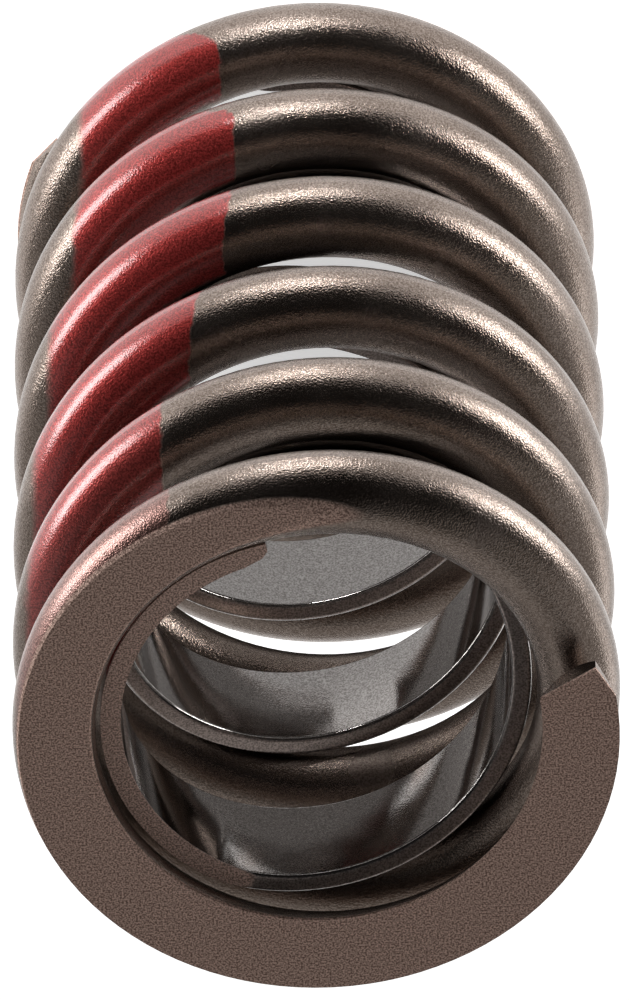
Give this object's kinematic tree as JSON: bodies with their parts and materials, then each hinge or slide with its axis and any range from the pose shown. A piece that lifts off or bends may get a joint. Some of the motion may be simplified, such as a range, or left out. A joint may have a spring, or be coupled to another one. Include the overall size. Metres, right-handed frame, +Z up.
{
  "type": "valve spring",
  "caption": "Round-wire compression spring with closed, ground ends and a flat-wire damper coiled the other way inside it, which shuts an engine valve.",
  "frame": {"origin": "centre of the lower ground face, on the spring's axis, the lowest point of the part", "axes": "+Z up along the spring's axis from the lower ground face to the upper one; the upper wire tip lies 195.5 degrees from +X towards +Y"},
  "size_m": [0.0318, 0.0318, 0.0498],
  "materials": {
    "spring_steel": "peened bronze-brown steel, ground end faces, dark red paint stripe on the outside of the coils",
    "damper_steel": "smooth rolled strip, matte ground ends"
  },
  "bodies": {
    "root": {"outer_spring": "spring_steel", "flat_damper": "damper_steel"}
  },
  "joints": []
}
